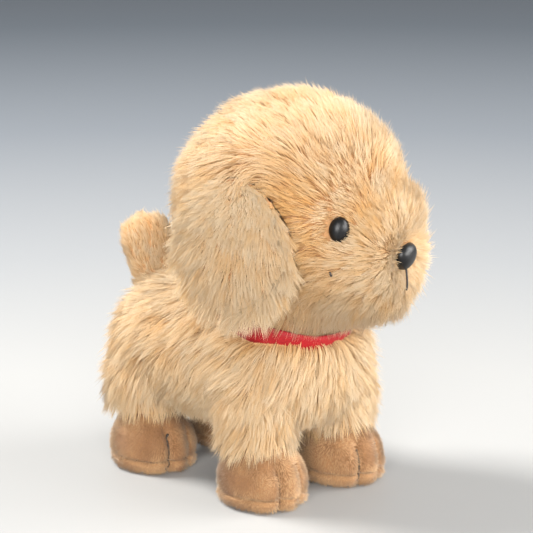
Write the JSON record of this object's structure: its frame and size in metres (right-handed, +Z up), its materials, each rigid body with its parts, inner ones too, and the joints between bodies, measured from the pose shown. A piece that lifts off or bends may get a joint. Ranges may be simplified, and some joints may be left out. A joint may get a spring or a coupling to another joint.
{
  "type": "standing plush dog",
  "caption": "Standing plush puppy with a turning head, lifting ears, a wagging tail and soft legs with weighted paws, which rests flat on its soles.",
  "frame": {"origin": "on the floor, under the middle of the standing dog's box", "axes": "+Z up; the body faces -Y; +X is the dog's own left"},
  "size_m": [0.1, 0.1622, 0.1734],
  "materials": {
    "plush_pile": "matte",
    "velour": "matte",
    "sole_velour": "matte",
    "black_plastic": "gloss",
    "washer_plastic": "satin",
    "red_ribbon": "satin",
    "dark_thread": "matte",
    "cream_thread": "matte",
    "filling": "matte",
    "pellets": "matte"
  },
  "bodies": {
    "torso": {"belly_panel": "plush_pile", "body_side_left": "plush_pile", "body_side_right": "plush_pile", "body_stuffing": "filling", "closing_thread": "cream_thread", "collar_ribbon": "red_ribbon"},
    "head": {"head_gusset": "plush_pile", "chin_panel": "plush_pile", "head_side_left": "plush_pile", "head_side_right": "plush_pile", "head_stuffing": "filling", "eye_left": "black_plastic", "eye_washer_left": "washer_plastic", "eye_right": "black_plastic", "eye_washer_right": "washer_plastic", "nose": "black_plastic", "nose_washer": "washer_plastic", "mouth_stitch": "dark_thread"},
    "ear_left": {"ear_lining_left": "plush_pile", "ear_outer_left": "plush_pile"},
    "ear_right": {"ear_lining_right": "plush_pile", "ear_outer_right": "plush_pile"},
    "tail": {"tail_cover": "plush_pile", "tail_stuffing": "filling"},
    "leg_front_left": {"leg_sleeve_front_left": "plush_pile", "leg_stuffing_front_left": "filling", "paw_upper_front_left": "velour", "paw_sole_front_left": "sole_velour", "paw_pellets_front_left": "pellets", "toe_thread_front_left_outer": "dark_thread", "toe_thread_front_left_inner": "dark_thread"},
    "leg_front_right": {"leg_sleeve_front_right": "plush_pile", "leg_stuffing_front_right": "filling", "paw_upper_front_right": "velour", "paw_sole_front_right": "sole_velour", "paw_pellets_front_right": "pellets", "toe_thread_front_right_outer": "dark_thread", "toe_thread_front_right_inner": "dark_thread"},
    "leg_hind_left": {"leg_sleeve_hind_left": "plush_pile", "leg_stuffing_hind_left": "filling", "paw_upper_hind_left": "velour", "paw_sole_hind_left": "sole_velour", "paw_pellets_hind_left": "pellets", "toe_thread_hind_left_outer": "dark_thread", "toe_thread_hind_left_inner": "dark_thread"},
    "leg_hind_right": {"leg_sleeve_hind_right": "plush_pile", "leg_stuffing_hind_right": "filling", "paw_upper_hind_right": "velour", "paw_sole_hind_right": "sole_velour", "paw_pellets_hind_right": "pellets", "toe_thread_hind_right_outer": "dark_thread", "toe_thread_hind_right_inner": "dark_thread"}
  },
  "joints": [
    {"name": "head_turn", "type": "hinge", "parent": "torso", "child": "head", "pos_m": [0, -0.01854, 0.086], "axis": [0, -0.3256, 0.9455], "range_deg": [-48, 12], "stiffness_Nm_per_rad": 0.4},
    {"name": "ear_left_lift", "type": "hinge", "parent": "head", "child": "ear_left", "pos_m": [0.03928, -0.01077, 0.144], "axis": [0.309, -0.9511, 0], "range_deg": [0, 75]},
    {"name": "ear_right_lift", "type": "hinge", "parent": "head", "child": "ear_right", "pos_m": [-0.03928, -0.0363, 0.144], "axis": [-0.309, 0.9511, 0], "range_deg": [0, 75]},
    {"name": "tail_wag", "type": "hinge", "parent": "torso", "child": "tail", "pos_m": [0, 0.06246, 0.076], "axis": [0, 0.9272, -0.3746], "range_deg": [-30, 30], "stiffness_Nm_per_rad": 0.05},
    {"name": "leg_front_left_swing", "type": "hinge", "parent": "torso", "child": "leg_front_left", "pos_m": [0.0244, -0.02754, 0.045], "axis": [1, 0, 0], "range_deg": [-12, 12], "stiffness_Nm_per_rad": 3},
    {"name": "leg_front_right_swing", "type": "hinge", "parent": "torso", "child": "leg_front_right", "pos_m": [-0.0244, -0.02754, 0.045], "axis": [1, 0, 0], "range_deg": [-12, 12], "stiffness_Nm_per_rad": 3},
    {"name": "leg_hind_left_swing", "type": "hinge", "parent": "torso", "child": "leg_hind_left", "pos_m": [0.0244, 0.04446, 0.045], "axis": [1, 0, 0], "range_deg": [-12, 12], "stiffness_Nm_per_rad": 3},
    {"name": "leg_hind_right_swing", "type": "hinge", "parent": "torso", "child": "leg_hind_right", "pos_m": [-0.0244, 0.04446, 0.045], "axis": [1, 0, 0], "range_deg": [-12, 12], "stiffness_Nm_per_rad": 3}
  ]
}
